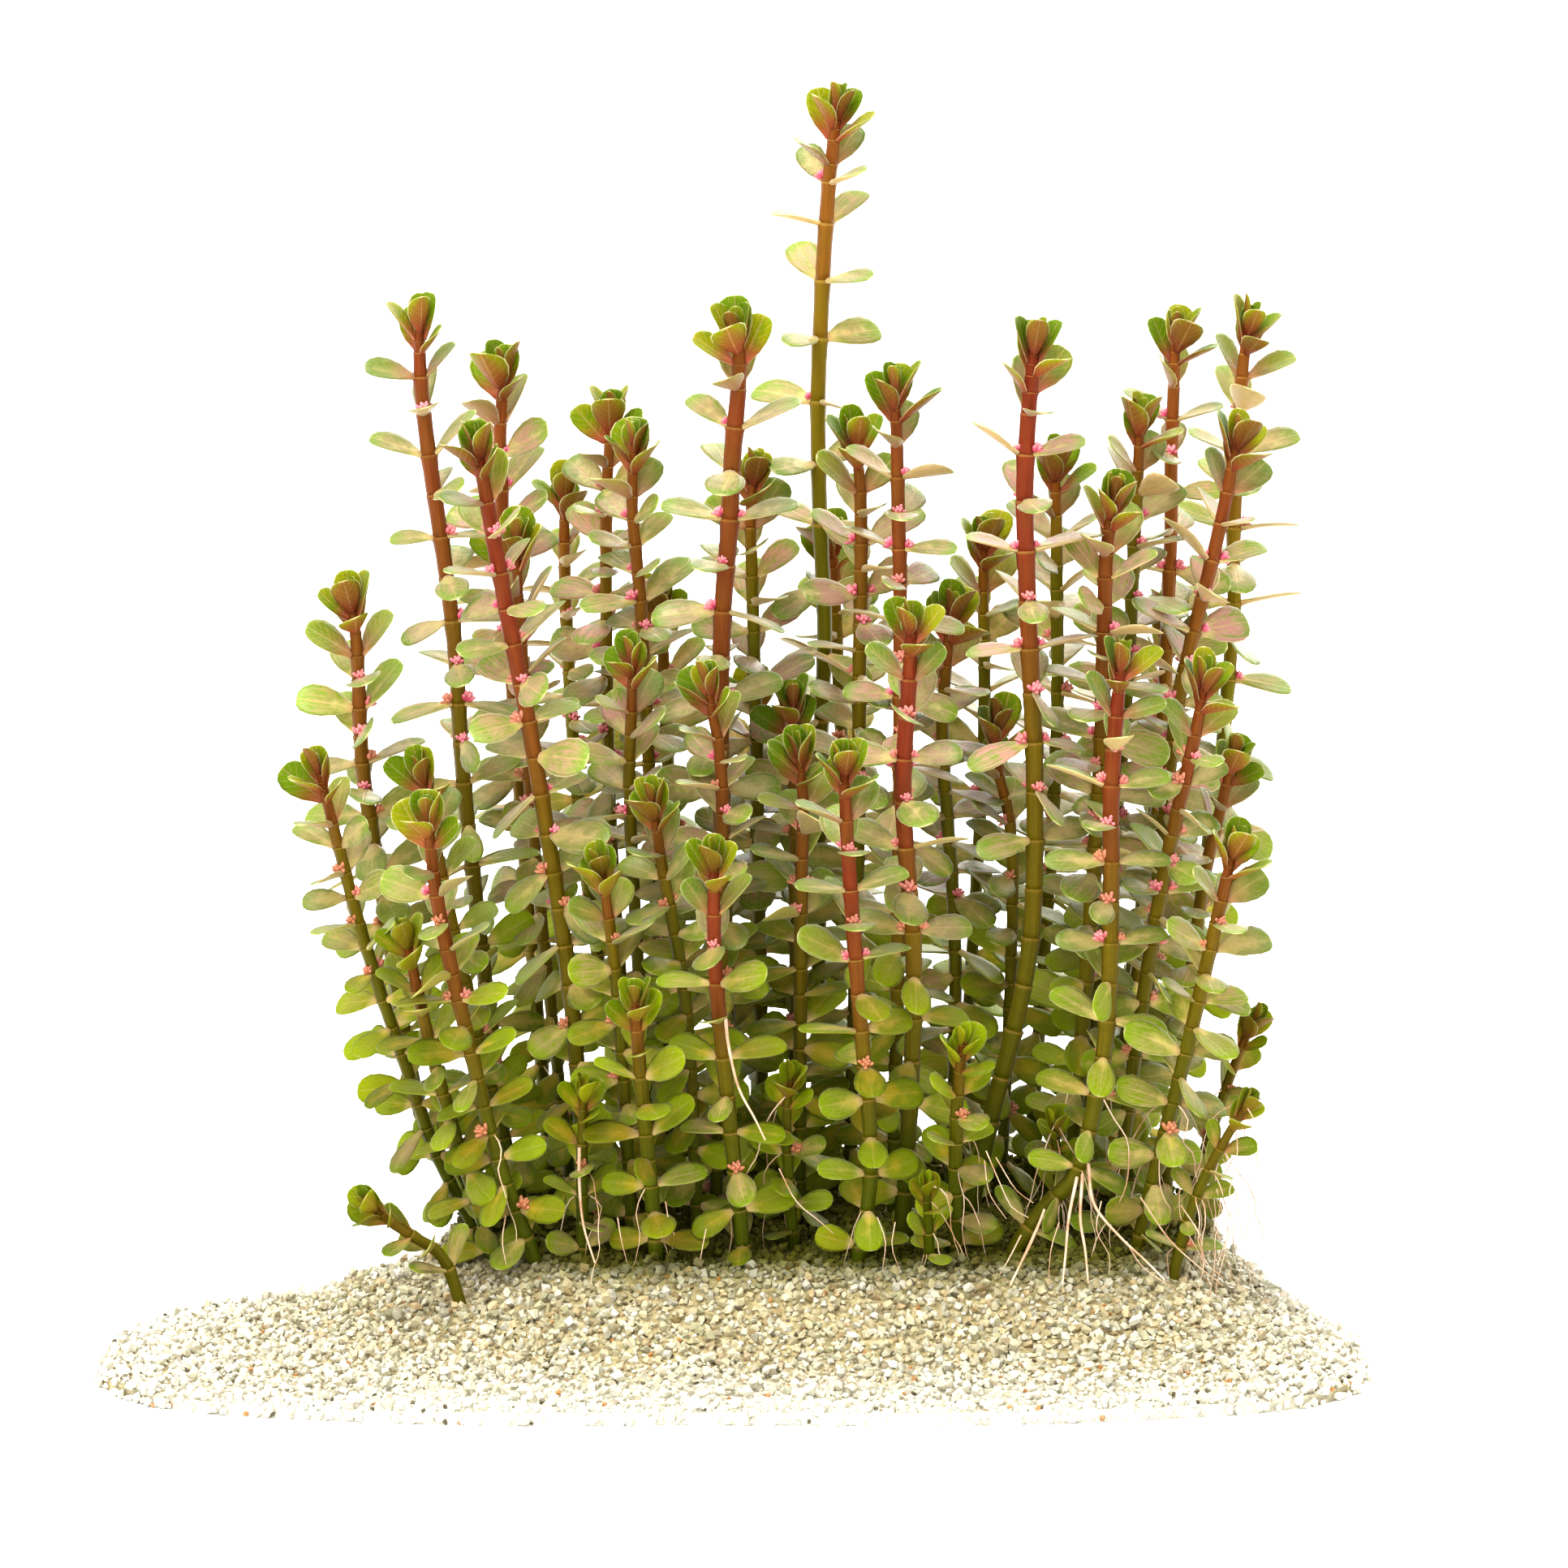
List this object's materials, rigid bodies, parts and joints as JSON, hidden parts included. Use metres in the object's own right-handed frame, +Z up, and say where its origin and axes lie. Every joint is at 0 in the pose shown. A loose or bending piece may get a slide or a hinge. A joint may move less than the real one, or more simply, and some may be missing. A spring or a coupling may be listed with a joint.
{
  "type": "aquarium stem plant clump",
  "caption": "Dense clump of upright rotala stems with crossing pairs of small oval leaves and cupped leaf rosettes at the tips, planted in a low mound of pale sand.",
  "frame": {"origin": "middle of the sand patch's bounding box, on the surface that it rests on", "axes": "+Z up along the stems, +X along the patch's long side, -Y towards the front"},
  "size_m": [0.15, 0.106, 0.1527],
  "materials": {
    "sand": "rough, granular",
    "shoot": "satin leaf, green with a rosy grey sheen, on red to green stems",
    "root": "satin"
  },
  "bodies": {
    "root": {"sand_bed": "sand", "shoot_01": "shoot", "shoot_02": "shoot", "shoot_03": "shoot", "shoot_04": "shoot", "shoot_05": "shoot", "shoot_06": "shoot", "shoot_07": "shoot", "shoot_08": "shoot", "shoot_09": "shoot", "shoot_10": "shoot", "shoot_11": "shoot", "shoot_12": "shoot", "shoot_13": "shoot", "shoot_14": "shoot", "shoot_15": "shoot", "shoot_16": "shoot", "shoot_17": "shoot", "shoot_18": "shoot", "shoot_19": "shoot", "shoot_20": "shoot", "shoot_21": "shoot", "shoot_22": "shoot", "shoot_23": "shoot", "shoot_24": "shoot", "shoot_25": "shoot", "shoot_26": "shoot", "shoot_27": "shoot", "shoot_28": "shoot", "shoot_29": "shoot", "shoot_30": "shoot", "shoot_31": "shoot", "shoot_32": "shoot", "shoot_33": "shoot", "shoot_34": "shoot", "shoot_35": "shoot", "shoot_36": "shoot", "shoot_37": "shoot", "shoot_38": "shoot", "shoot_39": "shoot", "shoot_40": "shoot", "shoot_41": "shoot", "shoot_42": "shoot", "shoot_43": "shoot", "shoot_44": "shoot", "shoot_45": "shoot", "shoot_46": "shoot", "shoot_47": "shoot", "shoot_48": "shoot", "shoot_49": "shoot", "shoot_50": "shoot", "shoot_51": "shoot", "shoot_52": "shoot", "shoot_53": "shoot", "root_01": "root", "root_02": "root", "root_03": "root", "root_04": "root", "root_05": "root", "root_06": "root"}
  },
  "joints": []
}
